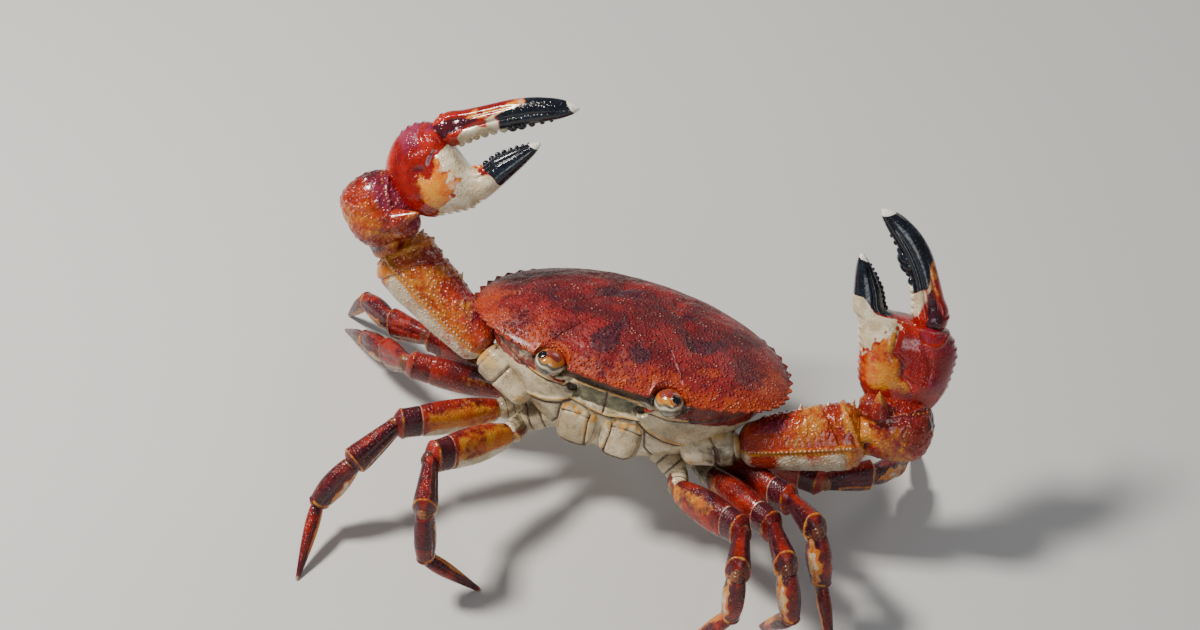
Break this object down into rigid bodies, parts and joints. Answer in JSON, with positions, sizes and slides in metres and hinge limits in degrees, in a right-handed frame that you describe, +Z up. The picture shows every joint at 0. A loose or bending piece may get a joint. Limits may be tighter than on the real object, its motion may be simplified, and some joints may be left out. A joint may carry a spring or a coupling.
{
  "type": "red rock crab",
  "caption": "Life-size still model of a red rock crab standing on its eight legs with both claws raised and open.",
  "frame": {"origin": "middle of the crab's box, on the floor it stands on", "axes": "+Z up, -Y is the way the crab faces, +X is the crab's own left"},
  "size_m": [0.2481, 0.1481, 0.1468],
  "materials": {
    "shell": "brick red granular shell with dark purple mottles, satin",
    "claw": "crimson to orange shell, glossy",
    "leg": "dark red shell with orange and cream marks, semi-gloss",
    "finger": "blue-black with white tips, polished",
    "cream": "cream underside, smooth satin",
    "eye": "grey and amber eye, wet gloss"
  },
  "bodies": {
    "root": {"carapace": "shell", "underbody": "cream", "abdomen": "cream", "eye_left": "eye", "maxilliped_left": "cream", "antenna_left": "leg", "claw_left_base": "cream", "claw_left_merus": "claw", "claw_left_carpus": "claw", "claw_left_palm": "claw", "claw_left_dactyl": "finger", "leg1_left_hip": "cream", "leg1_left_merus": "leg", "leg1_left_carpus": "leg", "leg1_left_propodus": "leg", "leg1_left_dactyl": "leg", "leg2_left_hip": "cream", "leg2_left_merus": "leg", "leg2_left_carpus": "leg", "leg2_left_propodus": "leg", "leg2_left_dactyl": "leg", "leg3_left_hip": "cream", "leg3_left_merus": "leg", "leg3_left_carpus": "leg", "leg3_left_propodus": "leg", "leg3_left_dactyl": "leg", "leg4_left_hip": "cream", "leg4_left_merus": "leg", "leg4_left_carpus": "leg", "leg4_left_propodus": "leg", "leg4_left_dactyl": "leg", "eye_right": "eye", "maxilliped_right": "cream", "antenna_right": "leg", "claw_right_base": "cream", "claw_right_merus": "claw", "claw_right_carpus": "claw", "claw_right_palm": "claw", "claw_right_dactyl": "finger", "leg1_right_hip": "cream", "leg1_right_merus": "leg", "leg1_right_carpus": "leg", "leg1_right_propodus": "leg", "leg1_right_dactyl": "leg", "leg2_right_hip": "cream", "leg2_right_merus": "leg", "leg2_right_carpus": "leg", "leg2_right_propodus": "leg", "leg2_right_dactyl": "leg", "leg3_right_hip": "cream", "leg3_right_merus": "leg", "leg3_right_carpus": "leg", "leg3_right_propodus": "leg", "leg3_right_dactyl": "leg", "leg4_right_hip": "cream", "leg4_right_merus": "leg", "leg4_right_carpus": "leg", "leg4_right_propodus": "leg", "leg4_right_dactyl": "leg"}
  },
  "joints": []
}
